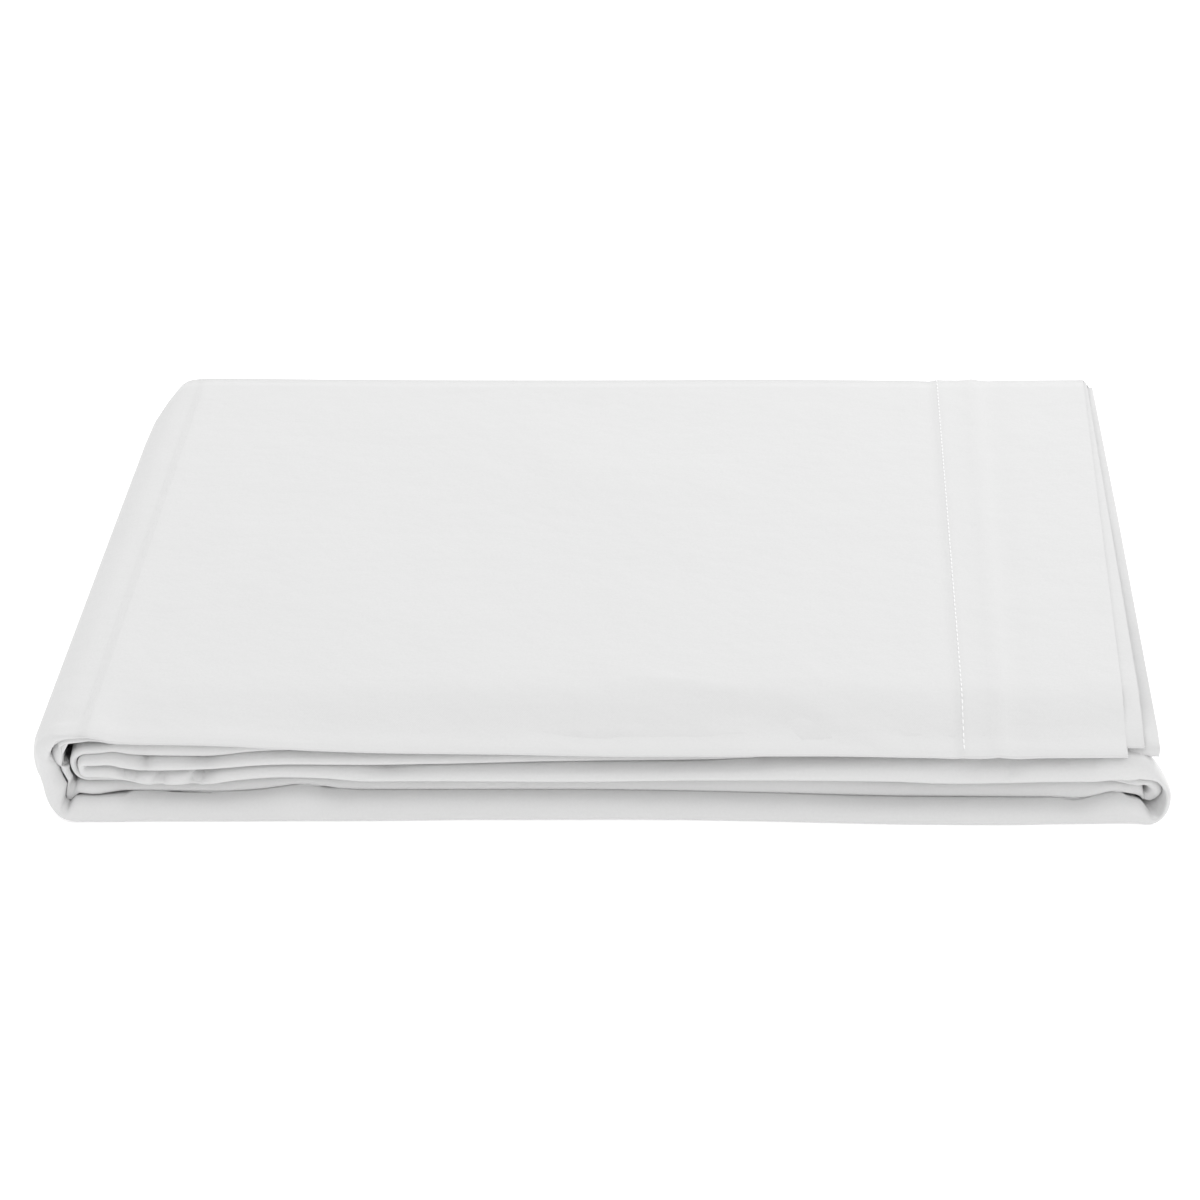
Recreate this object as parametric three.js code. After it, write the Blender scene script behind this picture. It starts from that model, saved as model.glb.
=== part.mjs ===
// A flat bed sheet folded for storage, in millimetres with Z up.
// The sheet is folded across its width into a long strip of four leaves, whose closed folds look
// to the front (-Y). The strip is then folded along its length into four panels: the flap on top,
// round the left side to the floor panel, round the right side to the middle panel, and back
// round a tight left fold to the upper panel, which ends out of sight under the flap.
// The whole sheet is one piece of cloth, so it is one solid.
import * as THREE from 'three';

// Driving dimensions
const SHEET = 1.0;
const GAP = 0.3;
const PITCH = SHEET + GAP;
const FLAP_PITCH = PITCH + 0.1;
const FLOOR_CLEARANCE = SHEET / 2;
const HAIRPIN_RADIUS = PITCH / 2;
const HAIRPIN_STEPS = 8;
const FLAP_FRONT_RUN = 30;
const FOLD_FRONT_RUN = 10;
const NOSE_DEPTH = 4.5;
const TIP_RADIUS = 0.6;
const NOSE_STEPS = 5;
const BACK_STEPS = 4;
const LEAN = 0.6;
const SIDE_LEAN = 0.3;
const UPPER_CLEARANCE = 0.5;
const TUCK_START = 100;
const TUCK_LENGTH = 38;
const STAGGER_LENGTH = 45;
const STRAIGHT_LENGTH = 12;
const SHOWN_FROM = -104;
const SHOWN_LENGTH = 20;

// Places along a leaf: Y of those at its back, and shares of the run up to its front fold
const BACK_PLACES = [120, TUCK_START];
const FRONT_PLACES = [1, 0.66, 0.33, 0];

// How far each leaf reaches past the outermost one at the hemmed end of the flap
const HEM_STAGGER_FRONT = [0, 7.5, 10.2, 9.0];
const HEM_STAGGER_BACK = [0, 1.4, 3.4, 2.4];

// How far short of the outermost leaf each leaf stops at the back
const BACK_STEP = [0, 1.2, 1.2, 2.4];

// Turns lines of bare numbers into rows with named columns
function table(columns, lines) {
  return lines.map((line) => Object.fromEntries(columns.map((name, i) => [name, line[i]])));
}

// Heights of the visible folds along the front, from left to right:
// top of the floor fold, lower edge of the middle fold, line between the middle and upper folds,
// top of the upper fold, and edge of the flap
const FRONT = table(
  ['x', 'floorTop', 'middleLow', 'middleTop', 'upperTop', 'flapEdge'],
  [
    [-150, 8.4, 12.4, 16.7, 21.0, 26.3],
    [-137, 8.3, 10.8, 15.7, 20.2, 25.8],
    [-122, 8.2, 11.0, 15.9, 19.8, 25.4],
    [-106, 8.5, 12.8, 17.1, 21.0, 25.0],
    [-90, 9.6, 13.4, 17.5, 21.0, 24.3],
    [-75, 8.7, 12.5, 17.5, 20.7, 23.4],
    [-60, 8.6, 12.0, 17.2, 20.3, 22.9],
    [-28, 8.2, 12.0, 17.4, 20.3, 22.7],
    [14, 8.4, 12.5, 17.8, 20.5, 22.1],
    [63, 8.2, 11.5, 17.8, 20.5, 22.1],
    [94, 8.0, 12.0, 19.2, 20.5, 22.1],
    [124, 7.9, 11.8, 19.6, 20.5, 22.0],
    [142, 8.0, 11.9, 19.6, 20.5, 22.0],
    [164, 8.8, 12.9, 19.6, 20.5, 22.1],
  ],
);

// The way of the outermost leaf round the bundle, seen from the front. Turn is its heading in
// degrees, deep the distance to the innermost leaf, front and inner the Y of the outer and inner
// folds, back the Y of the open side, rake how far the back lies to the right of the front, and
// tuck how far the back corner is drawn in.
const COURSE_COLUMNS = [
  'place', 'x', 'z', 'turn', 'deep', 'front', 'inner', 'back', 'rake', 'tuck', 'steps',
];
const COURSE = table(COURSE_COLUMNS, [
  ['flap', 163.2, 28.3, 180, 3.9, -134, -106, 135.4, 8.8, 0, 1],
  ['flap', 142, 28.4, 180, 3.9, -134, -105, 135.0, 6, 0, 2],
  ['flap', 108, 28.8, 179, 3.9, -134, -102, 134.6, 3, 0, 1],
  ['flap', 86, 29.4, 177, 3.9, -134, -100, 134.0, 2, 0, 1],
  ['flap', 60, 29.9, 178, 3.9, -134, -99, 133.6, 1, 0, 1],
  ['flap', 14, 30.0, 180, 3.9, -134, -99, 133.6, 0, 0, 2],
  ['flap', -60, 30.0, 180, 4.0, -134, -99, 134.4, 0, 0, 2],
  ['flap', -122, 30.0, 180, 4.1, -133.8, -104, 136, 0, 0, 2],
  ['flap', -148, 30.1, 180, 4.1, -133.6, -106, 136.6, 0, 0, 1],
  ['left side', -160.5, 30.0, 186, 4.3, -133.6, -108, 136.6, 0.5, 0, 1],
  ['left side', -168.8, 28.6, 206, 6.5, -133.6, -118, 136, 1.2, 2.5, 1],
  ['left side', -174.8, 24.2, 236, 7.6, -133.6, -124, 135, 1.6, 4.5, 1],
  ['left side', -176.8, 17.5, 262, 8.5, -134, -128, 134, 1.6, 5, 1],
  ['left side', -175.8, 10.5, 288, 8.5, -134.8, -128, 134, 1.2, 5, 1],
  ['left side', -172, 4.8, 312, 8.0, -135.6, -127, 134, 1, 4, 1],
  ['left side', -166, 1.3, 338, 8.4, -136.2, -124, 135, 0.5, 3, 1],
  ['left side', -158, 0.5, 360, 9.8, -136.6, -123, 135.4, 0, 1, 1],
  ['floor', -145, 0.5, 360, 10.7, -136.7, -122, 135.6, 0, 0, 2],
  ['floor', -90, 0.5, 360, 10.7, -136.7, -122, 135.6, 0, 0, 2],
  ['floor', -28, 0.5, 360, 10.7, -136.2, -122, 135.6, 0, 0, 1],
  ['floor', 14, 0.5, 360, 10.7, -136, -122, 135.6, 0, 0, 1],
  ['floor', 63, 0.5, 360, 10.6, -137.6, -123.5, 135.6, 0, 0, 1],
  ['floor', 94, 0.5, 360, 10.6, -138.6, -125, 135.6, 0, 0, 1],
  ['floor', 124, 0.5, 360, 10.6, -139, -125.5, 135.6, 0, 0, 1],
  ['floor', 148, 0.5, 360, 10.4, -138, -124, 135.6, 0, 0, 1],
  ['right side', 165, 0.55, 366, 8.0, -137.6, -126, 135, -1, 0, 1],
  ['right side', 171.8, 2.2, 388, 6.5, -137, -124, 134, -2, 0, 1],
  ['right side', 176.0, 6.0, 420, 6.0, -136, -123, 133, -3, 0, 1],
  ['right side', 177.0, 10.8, 455, 6.0, -135.2, -123, 132, -3, 0, 1],
  ['right side', 175.0, 15.8, 485, 6.0, -134.8, -124, 132, -3, 0, 1],
  ['right side', 170.2, 20.1, 510, 6.5, -134.4, -124, 133, -2, 0, 1],
  ['right side', 163, 22.5, 532, 7.8, -134.4, -122, 134, -1, 0, 1],
  ['middle', 152, 23.0, 540, 8.9, -134.6, -118, 135, 0, 0, 1],
  ['middle', 124, 23.0, 540, 9.2, -135, -118, 135, 0, 0, 1],
  ['middle', 98, 22.4, 543, 8.9, -135, -118, 135, 0, 0, 1],
  ['middle', 82, 20.9, 544, 7.8, -134.6, -118, 135, 0, 0, 1],
  ['middle', 66, 19.6, 542, 6.9, -134.4, -118, 135, 0, 0, 1],
  ['middle', 40, 19.2, 540, 6.7, -134.2, -118, 135, 0, 0, 1],
  ['middle', -10, 19.2, 540, 6.7, -134, -118, 134.5, 0, 0, 1],
  ['middle', -60, 19.2, 540, 6.7, -134, -118, 134, 0, 0, 2],
  ['middle', -106, 19.0, 540, 6.5, -133.8, -117, 134, 1, 0, 1],
  ['middle', -122, 18.8, 540, 6.3, -133.6, -116, 134, 1, 0, 1],
  ['middle', -140, 18.65, 540, 6.1, -133.4, -118, 134, 2, 0, 2],
  ['left fold', -155.4, 18.6, 540, 6.0, -133, -126, 133, 3, 1, HAIRPIN_STEPS],
  ['left fold', -155.4, 19.9, 360, 4.6, -133, -126, 133, 3, 1, 2],
  ['upper', -140, 20.0, 360, 4.5, -132.8, -120, 133, 2, 0, 1],
  ['upper', -122, 20.15, 360, 4.4, -132.6, -118, 133, 1, 0, 1],
  ['upper', -106, 20.35, 360, 4.2, -132.4, -115, 133, 1, 0, 1],
  ['upper', -75, 20.55, 360, 4.0, -132, -113, 133, 0, 0, 2],
  ['upper', -28, 20.55, 360, 3.9, -131.4, -114, 133, 0, 0, 1],
  ['upper', 14, 20.55, 360, 3.9, -131, -115, 133, 0, 0, 1],
  ['upper', 60, 20.55, 360, 3.9, -131, -115, 133, 0, 0, 0],
]);

// Where the front folds are pressed at the sides: distance from the outermost leaf's way to each
// leaf's front end
const SIDE_LIPS = {
  'left side': table(['turn', 'lips'], [
    [186, [0.6, 2.4, 3.2, 4.7]],
    [206, [0.6, 4.4, 5.7, 7.4]],
    [236, [0.8, 5.6, 6.9, 8.8]],
    [262, [2.2, 6.6, 7.9, 9.8]],
    [288, [2.6, 6.6, 7.9, 9.8]],
    [312, [1.8, 4.8, 6.4, 8.3]],
    [338, [0.5, 3.4, 6.8, 8.6]],
    [360, [0, 7.6, 8.8, 10.3]],
  ]),
  'right side': table(['turn', 'lips'], [
    [366, [0, 5.8, 7.0, 8.9]],
    [388, [0, 3.0, 4.3, 6.2]],
    [420, [0, 2.3, 3.6, 5.6]],
    [455, [0.8, 2.6, 3.9, 5.9]],
    [485, [2.2, 4.0, 5.3, 7.4]],
    [510, [2.8, 5.7, 7.0, 8.9]],
    [532, [1.8, 7.2, 8.5, 10.2]],
  ]),
  'left fold': table(['turn', 'lips'], [
    [360, [0, 3.2, 4.4, 5.9]],
    [540, [0, 3.4, 4.6, 6.1]],
  ]),
};

function ease(t) {
  const c = Math.min(1, Math.max(0, t));
  return c * c * (3 - 2 * c);
}

function mix(a, b, t) {
  return a + (b - a) * t;
}

// Reads the columns of a sorted table at a place between its rows
function readTable(rows, key, at, column) {
  const last = rows.length - 1;
  if (at <= rows[0][key]) return rows[0][column];
  if (at >= rows[last][key]) return rows[last][column];
  const i = rows.findIndex((row) => row[key] > at) - 1;
  const t = (at - rows[i][key]) / (rows[i + 1][key] - rows[i][key]);
  const [a, b] = [rows[i][column], rows[i + 1][column]];
  return Array.isArray(a) ? a.map((value, k) => mix(value, b[k], t)) : mix(a, b, t);
}

// Distance of each of the four leaves from the outermost leaf's way, at the front folds
function lipsOf(row) {
  if (row.place in SIDE_LIPS) return readTable(SIDE_LIPS[row.place], 'turn', row.turn, 'lips');
  const height = (column) => readTable(FRONT, 'x', row.x, column);
  const third = row.deep / 3;
  if (row.place === 'flap') {
    const low = height('flapEdge') + SHEET / 2;
    return [row.z - low - FLAP_PITCH, row.z - low, 2 * third, row.deep];
  }
  if (row.place === 'floor') {
    const top = height('floorTop') - SHEET / 2 - row.z;
    return [0, top, row.deep - PITCH, row.deep];
  }
  if (row.place === 'middle') {
    const top = row.z - height('middleTop') + HAIRPIN_RADIUS;
    const low = row.z - height('middleLow') - SHEET / 2;
    return [top, low, row.deep - PITCH, row.deep];
  }
  const low = height('middleTop') + HAIRPIN_RADIUS + UPPER_CLEARANCE - row.z;
  const top = Math.max(height('upperTop') - SHEET / 2 - row.z, low + PITCH);
  const shown = ease((SHOWN_FROM - row.x) / SHOWN_LENGTH);
  const lift = Math.max(row.deep, low + 3 * PITCH, mix(row.deep, top + 2 * PITCH, shown));
  return [low, top, lift - PITCH, lift];
}

// Smooth curve through four values
function spline(a, b, c, d, t) {
  const tt = t * t;
  return 0.5 * (2 * b + (c - a) * t + (2 * a - 5 * b + 4 * c - d) * tt
    + (3 * b - a - 3 * c + d) * tt * t);
}

const SMOOTH_COLUMNS = ['deep', 'front', 'inner', 'back', 'rake', 'tuck', 'turn'];

function stationBetween(i, t) {
  const [from, to] = [COURSE[i], COURSE[i + 1]];
  const station = {};
  for (const column of SMOOTH_COLUMNS) station[column] = mix(from[column], to[column], t);
  if (from.steps === HAIRPIN_STEPS) {
    const angle = THREE.MathUtils.degToRad(station.turn);
    station.x = from.x - HAIRPIN_RADIUS * Math.sin(angle);
    station.z = (from.z + to.z) / 2 + HAIRPIN_RADIUS * Math.cos(angle);
    station.place = from.place;
    station.lips = lipsOf(station);
    return station;
  }
  const before = COURSE[Math.max(0, i - 1)];
  const after = COURSE[Math.min(COURSE.length - 1, i + 2)];
  const straight = Math.abs(to.x - from.x) > STRAIGHT_LENGTH;
  for (const axis of ['x', 'z']) {
    station[axis] = straight
      ? mix(from[axis], to[axis], t)
      : spline(before[axis], from[axis], to[axis], after[axis], t);
  }
  const [a, b] = [lipsOf(from), lipsOf(to)];
  station.place = from.place;
  station.lips = a.map((value, k) => mix(value, b[k], t));
  return station;
}

function stations() {
  const list = [];
  for (let i = 0; i < COURSE.length - 1; i += 1) {
    const steps = COURSE[i].steps;
    for (let s = 0; s < steps; s += 1) list.push(stationBetween(i, s / steps));
  }
  const last = COURSE.length - 1;
  list.push({ ...COURSE[last], lips: lipsOf(COURSE[last]) });
  return list;
}

// Points of one leaf as { y, depth, leaf }, from its back end to the start of its front fold
function leafPoints(station, k, tip) {
  const run = station.place === 'flap' && k < 2 ? FLAP_FRONT_RUN : FOLD_FRONT_RUN;
  const back = station.back - BACK_STEP[k];
  const depth = (station.deep * k) / 3;
  const places = [back, ...BACK_PLACES, ...FRONT_PLACES.map((share) => tip + share * run)];
  return places.map((y) => {
    const near = ease((tip + run - y) / run);
    return { y, depth: mix(depth, station.lips[k], near), leaf: k };
  });
}

// A closed front fold from leaf k to leaf k + 1; lean moves its tip to the lower side
function frontFold(station, k, front, depthOfFold) {
  const [a, b] = [station.lips[k], station.lips[k + 1]];
  const half = (b - a) / 2;
  const room = 1 - (PITCH / 2 / half) ** 2;
  const most = station.place in SIDE_LIPS ? SIDE_LEAN : LEAN;
  const lean = -Math.cos(THREE.MathUtils.degToRad(station.turn)) * most * room;
  const points = [];
  for (let s = 1; s < NOSE_STEPS; s += 1) {
    const angle = Math.PI * (s / NOSE_STEPS - 0.5);
    const reach = Math.cos(angle);
    const depth = (a + b) / 2 + half * Math.sin(angle) + lean * half * reach * reach;
    points.push({ y: front + depthOfFold * (1 - reach), depth, leaf: k + s / NOSE_STEPS });
  }
  return points;
}

// The open fold at the back from leaf 1 to leaf 2
function backFold(station) {
  const spacing = station.deep / 3;
  const y = station.back - BACK_STEP[1];
  const points = [];
  for (let s = 1; s < BACK_STEPS; s += 1) {
    const angle = Math.PI * (s / BACK_STEPS - 0.5);
    const depth = spacing * 1.5 + (spacing / 2) * Math.sin(angle);
    points.push({ y: y + (spacing / 2) * Math.cos(angle), depth, leaf: 1 + s / BACK_STEPS });
  }
  return points;
}

// How deep a front fold may reach without pinching the sheet inside it
function foldDepth(station, k) {
  const half = (station.lips[k + 1] - station.lips[k]) / 2;
  return Math.min(NOSE_DEPTH, (half * half) / TIP_RADIUS);
}

function section(station) {
  const outer = foldDepth(station, 0);
  const inner = foldDepth(station, 2);
  return [
    ...leafPoints(station, 0, station.front + outer),
    ...frontFold(station, 0, station.front, outer),
    ...leafPoints(station, 1, station.front + outer).reverse(),
    ...backFold(station),
    ...leafPoints(station, 2, station.inner + inner),
    ...frontFold(station, 2, station.inner, inner),
    ...leafPoints(station, 3, station.inner + inner).reverse(),
  ];
}

// Places a section point in space
function place(station, point, wayFromHem) {
  const angle = THREE.MathUtils.degToRad(station.turn);
  const share = (point.y - station.front) / (station.back - station.front);
  const corner = Math.max(0, (point.y - TUCK_START) / TUCK_LENGTH);
  const low = Math.floor(point.leaf);
  const high = Math.min(3, low + 1);
  const staggerAt = (k) => mix(HEM_STAGGER_FRONT[k], HEM_STAGGER_BACK[k], share);
  const stagger = mix(staggerAt(low), staggerAt(high), point.leaf - low);
  const reach = stagger * Math.max(0, 1 - wayFromHem / STAGGER_LENGTH);
  return new THREE.Vector3(
    station.x - point.depth * Math.sin(angle) - reach * Math.cos(angle)
      + station.rake * share + station.tuck * corner * corner,
    point.y,
    Math.max(FLOOR_CLEARANCE, station.z + point.depth * Math.cos(angle)),
  );
}

// Middle surface of the sheet as a grid of points, along the strip and across its leaves
function middleSurface() {
  let way = 0;
  let previous = null;
  return stations().map((station) => {
    if (previous) way += Math.hypot(station.x - previous.x, station.z - previous.z);
    previous = station;
    return section(station).map((point) => place(station, point, way));
  });
}

function gridNormal(grid, i, j) {
  const along = new THREE.Vector3().subVectors(
    grid[Math.min(grid.length - 1, i + 1)][j],
    grid[Math.max(0, i - 1)][j],
  );
  const across = new THREE.Vector3();
  const row = grid[i];
  if (j < row.length - 1) across.add(row[j + 1].clone().sub(row[j]).normalize());
  if (j > 0) across.add(row[j].clone().sub(row[j - 1]).normalize());
  return along.cross(across).normalize();
}

// Gives the middle surface its thickness and closes it round its rim
function sheetGeometry(grid) {
  const rows = grid.length;
  const columns = grid[0].length;
  const positions = [];
  for (const side of [1, -1]) {
    for (let i = 0; i < rows; i += 1) {
      for (let j = 0; j < columns; j += 1) {
        const offset = gridNormal(grid, i, j).multiplyScalar((side * SHEET) / 2);
        positions.push(...grid[i][j].clone().add(offset).toArray());
      }
    }
  }
  const at = (side, i, j) => side * rows * columns + i * columns + j;
  const faces = [];
  const quad = (a, b, c, d) => faces.push(a, b, c, a, c, d);
  for (let i = 0; i < rows - 1; i += 1) {
    for (let j = 0; j < columns - 1; j += 1) {
      quad(at(0, i, j), at(0, i + 1, j), at(0, i + 1, j + 1), at(0, i, j + 1));
      quad(at(1, i, j), at(1, i, j + 1), at(1, i + 1, j + 1), at(1, i + 1, j));
    }
  }
  for (let i = 0; i < rows - 1; i += 1) {
    quad(at(0, i, 0), at(1, i, 0), at(1, i + 1, 0), at(0, i + 1, 0));
    const j = columns - 1;
    quad(at(0, i, j), at(0, i + 1, j), at(1, i + 1, j), at(1, i, j));
  }
  for (let j = 0; j < columns - 1; j += 1) {
    quad(at(0, 0, j), at(0, 0, j + 1), at(1, 0, j + 1), at(1, 0, j));
    const i = rows - 1;
    quad(at(0, i, j), at(1, i, j), at(1, i, j + 1), at(0, i, j + 1));
  }
  const geometry = new THREE.BufferGeometry();
  geometry.setAttribute('position', new THREE.Float32BufferAttribute(positions, 3));
  geometry.setIndex(faces);
  return geometry;
}

// Centres the bundle over the origin
function centred(geometry) {
  geometry.computeBoundingBox();
  const middle = geometry.boundingBox.getCenter(new THREE.Vector3());
  geometry.translate(-middle.x, -middle.y, -geometry.boundingBox.min.z);
  return geometry;
}

const sheet = new THREE.Mesh(
  centred(sheetGeometry(middleSurface())),
  new THREE.MeshStandardMaterial({ color: 0xf2f2f2, roughness: 0.9, metalness: 0 }),
);
sheet.name = 'folded_sheet';

const bundle = new THREE.Group();
bundle.add(sheet);

export default bundle;
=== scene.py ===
import math

import bpy
import numpy as np
from mathutils import Matrix, Vector


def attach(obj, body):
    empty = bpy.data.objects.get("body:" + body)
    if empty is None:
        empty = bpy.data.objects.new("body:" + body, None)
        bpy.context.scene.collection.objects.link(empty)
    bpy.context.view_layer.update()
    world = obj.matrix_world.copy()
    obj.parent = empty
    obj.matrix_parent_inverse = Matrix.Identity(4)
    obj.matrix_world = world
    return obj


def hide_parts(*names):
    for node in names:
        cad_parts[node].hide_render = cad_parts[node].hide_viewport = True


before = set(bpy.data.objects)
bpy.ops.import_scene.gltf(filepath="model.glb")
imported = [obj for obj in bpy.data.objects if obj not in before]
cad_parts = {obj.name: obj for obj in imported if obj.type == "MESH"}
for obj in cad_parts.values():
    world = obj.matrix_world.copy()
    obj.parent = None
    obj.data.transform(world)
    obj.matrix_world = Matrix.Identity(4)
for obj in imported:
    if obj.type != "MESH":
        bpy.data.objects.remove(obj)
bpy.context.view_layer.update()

MM = 0.001

# A flat bed sheet of fine white cotton, folded for storage. Lengths are in millimetres, and the
# turns in the tables in degrees. The sheet is folded in half along its length, so every leaf is two
# plies, then across its width into a strip of eight leaves, and the strip into four panels: flap,
# floor, middle and upper. A station is a place along the strip. Its section is the way of the cloth
# through the eight leaves there. Depth counts inward from the course, which runs half the CAD
# cloth's thickness inside the strip's outer face. Leaf 1 is the outermost one. Leaves 1 to 4 are
# the outer group and leaves 5 to 8 the inner one. The cloth's first ply runs from the flap's hem to
# the hidden end, and its second ply from there back to the hem.

# ---- Sizes ----

SHIFT = (-0.08, 1.29, 0.0)      # from the course's origin to the frame's
PLY = 0.2
PLY_OFFSET = 0.13               # half the distance of a leaf's two plies
PACK = PLY_OFFSET + PLY / 2     # half the thickness of a leaf
CAD_HALF = 0.5                  # half the thickness of the CAD's cloth
LEAVES = 8
OUTER_LEAVES = 4
LEAF_SPACING = 0.5              # most that neighbouring leaves are apart at the front
SECOND_PLY_EVERY = 3            # the second ply has every third station only
LOWEST = 0.12                   # lowest middle of a ply, above the floor
TOP_END = 1.2 * math.pi         # the left side's turn at which the top's relief ends
TINY = 1e-9

# The hem: doubled cloth as far as its seam, with its leaves' edges staggered
HEM_LINE = 113.6
HEM_MARGIN = 0.1
HEM_EXTRA = 0.16
HEM_SECOND_SHARE = 0.4
STAGGER_LENGTH = 45

# How far from their front folds the leaves of the flap, the outer and the inner group settle
FLAP_RUN = 30
FOLD_RUN = 10
INNER_RUN = 8

# The left side's back corner is tucked in, and the right side's front flares out
TUCK_START = 100
TUCK_LENGTH = 38
FLARE_START = 2
FLARE_LENGTH = 16

# Front of the panels: height of the flap's outer fold, where its inner group starts and how far it
# sags, the gaps between the groups, what the groups of the floor panel and the middle panel leave
# free above them, and how far the floor panel's outer group lies below FLOOR_TOP
FLAP_FOLD_HIGH = 1.3
FLAP_INNER_FROM = 0.25
FLAP_INNER_SAG = 0.4
GROUP_GAP = {"floor": 0.1, "middle": 0.2, "upper": 0.4, "right side": 0.5}
FLOOR_FREE = 0.2
MIDDLE_FREE = 0.5
FLOOR_SINK = 2.4

# Where the right side still lies flat, by its turn's cosine, its lowest fold follows FLOOR_TOP as
# well. From x on it lies less and less below it.
FLAT_COSINE = 0.8
SINK_END = {"x": 164, "long": 8, "loss": 0.7}
LEAST_FOLD = 0.9
INNER_GROUP_LIMIT = 5.0

# How far the folds reach back at most, and for each millimetre of half their height
OUTER_REACH = {
    "left side": 3.4, "floor": 7.0, "right side": 3.6, "middle": 6.6, "left fold": 3.8,
    "upper": 5.6,
}
OUTER_REACH_RATIO = 2.3
INNER_REACH = 2.2
INNER_REACH_RATIO = 1.5
FLAP_REACH = 3.0

# The folds nested in them: how far behind, how far they reach back at most, and the square of half
# their height for each millimetre of reach
NEST = 0.4
FLAP_NEST = 2.0
NESTED_REACH = 1.2
NESTED_SQUARE = 0.25
DENT_INSIDE = 0.3               # they take up the dents as deep as those are this far down

# Where a section has its points: shares of leaf 1, shares of a leaf's run to its fold, places in
# the hidden leaves, and the steps round the folds
TOP_PLACES = (
    1, 0.97, 0.91, 0.84, 0.77, 0.7, 0.63, 0.56, 0.49, 0.42, 0.36, 0.3, 0.25, 0.21, 0.17, 0.135,
    0.1, 0.07, 0.045, 0.02,
)
SHOWN_RUN = (1, 0.8, 0.6, 0.42, 0.26, 0.12, 0)
HIDDEN_RUN = (1, 0.45, 0)
HIDDEN_PLACES = (112, 20)
SHOWN_FOLDS = ((4, 1), (8, 5))
NOSE_STEPS = {(4, 1): 17, (8, 5): 9, (2, 3): 5, (6, 7): 5}
BACK_FOLD_STEPS = 4

# A fold takes the shape of NOSE where the strip lies flat and is round where it stands upright
LEAN_GAIN = 1.5
LEAN_START = 0.4

# Order in which the cloth runs through the leaves, the front fold of each leaf, how far its back
# is set in, and how far its hem stands out at the front and at the back
LEAF_ORDER = (8, 5, 4, 1, 2, 3, 6, 7)
PAIR = {1: (4, 1), 4: (4, 1), 2: (2, 3), 3: (2, 3), 5: (8, 5), 8: (8, 5), 6: (6, 7), 7: (6, 7)}
BACK_STEP = {1: 0.0, 2: 0.4, 3: 1.3, 4: 1.6, 5: 1.4, 6: 1.8, 7: 3.4, 8: 2.6}
HEM_STAGGER_FRONT = {1: 0.0, 2: 5.6, 3: 5.9, 4: 0.3, 5: 10.6, 6: 9.6, 7: 9.9, 8: 10.2}
HEM_STAGGER_BACK = {1: 0.0, 2: 1.1, 3: 1.4, 4: 0.2, 5: 3.5, 6: 2.9, 7: 3.1, 8: 3.3}

# ---- Tables ----


def table(columns, lines):
    return [dict(zip(columns, line)) for line in lines]


# Heights of the visible fold lines along the front
LINE = ("x", "z")
FLAP_EDGE = table(LINE, [
    (-170, 28.4), (-161, 29.0), (-156.8, 28.7), (-151, 27.5), (-144.5, 26.8), (-125.6, 26.6),
    (-112.6, 26.2), (-97, 25.2), (-65, 23.9), (-28, 23.4), (14, 22.6), (68.6, 22.8), (113.6, 22.1),
    (136.4, 22.3), (162.8, 22.5),
])
UPPER_IN = table(LINE, [
    (-160, 23.6), (-153.4, 25.0), (-144, 25.2), (-122, 25.0), (-104, 24.6), (-85, 23.8),
    (-65, 23.2), (-28, 22.8), (14, 22.1), (60, 22.3),
])
UPPER_TOP = table(LINE, [
    (-156.3, 22.0), (-151, 23.0), (-145.7, 21.2), (-140, 20.9), (-121.8, 20.6), (-104.2, 22.2),
    (-98, 22.4), (-65, 22.0), (-28, 22.0), (14, 21.4), (60, 21.6),
])
MIDDLE_TOP = table(LINE, [
    (-159.6, 17.4), (-152.6, 19.2), (-147.4, 17.3), (-137.7, 16.9), (-121.7, 17.3), (-98, 18.8),
    (-65.5, 18.4), (-44, 18.4), (-20, 18.6), (14, 18.4), (44, 18.8), (60, 20.6), (80, 21.0),
    (164, 21.2),
])
MIDDLE_LOW = table(LINE, [
    (-162.4, 15.1), (-155.3, 13.7), (-146, 12.8), (-137.9, 11.8), (-123.5, 12.0), (-110, 14.0),
    (-98, 15.1), (-85.8, 14.7), (-70, 13.4), (-56, 13.6), (-36.4, 13.5), (-4.8, 13.3), (13.8, 13.6),
    (61, 13.9), (92.4, 13.7), (109.3, 13.0), (123.7, 13.2), (140.9, 13.6), (149.7, 13.6),
    (161.3, 14.0),
])
MIDDLE_IN = table(LINE, [
    (-161.4, 13.2), (-154.6, 11.9), (-148, 11.7), (-123, 11.0), (-98, 12.6), (-70, 12.2),
    (14, 12.2), (63, 12.4), (94, 11.4), (124, 11.6), (161, 12.4),
])
FLOOR_TOP = table(LINE, [
    (-154.6, 10.1), (-138, 9.9), (-118, 9.5), (-106, 10.2), (-90, 12.3), (-82, 10.7), (-74.2, 10.1),
    (-52.4, 10.0), (-12.6, 9.9), (32.3, 9.3), (53.3, 9.0), (92.5, 8.3), (130.3, 8.3), (141.6, 8.4),
    (148.4, 8.0), (155.1, 9.4), (160.5, 11.0), (164.1, 10.3), (168.3, 8.0), (171.2, 4.3),
    (173.7, 2.6), (175.4, 2.0),
])

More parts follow.
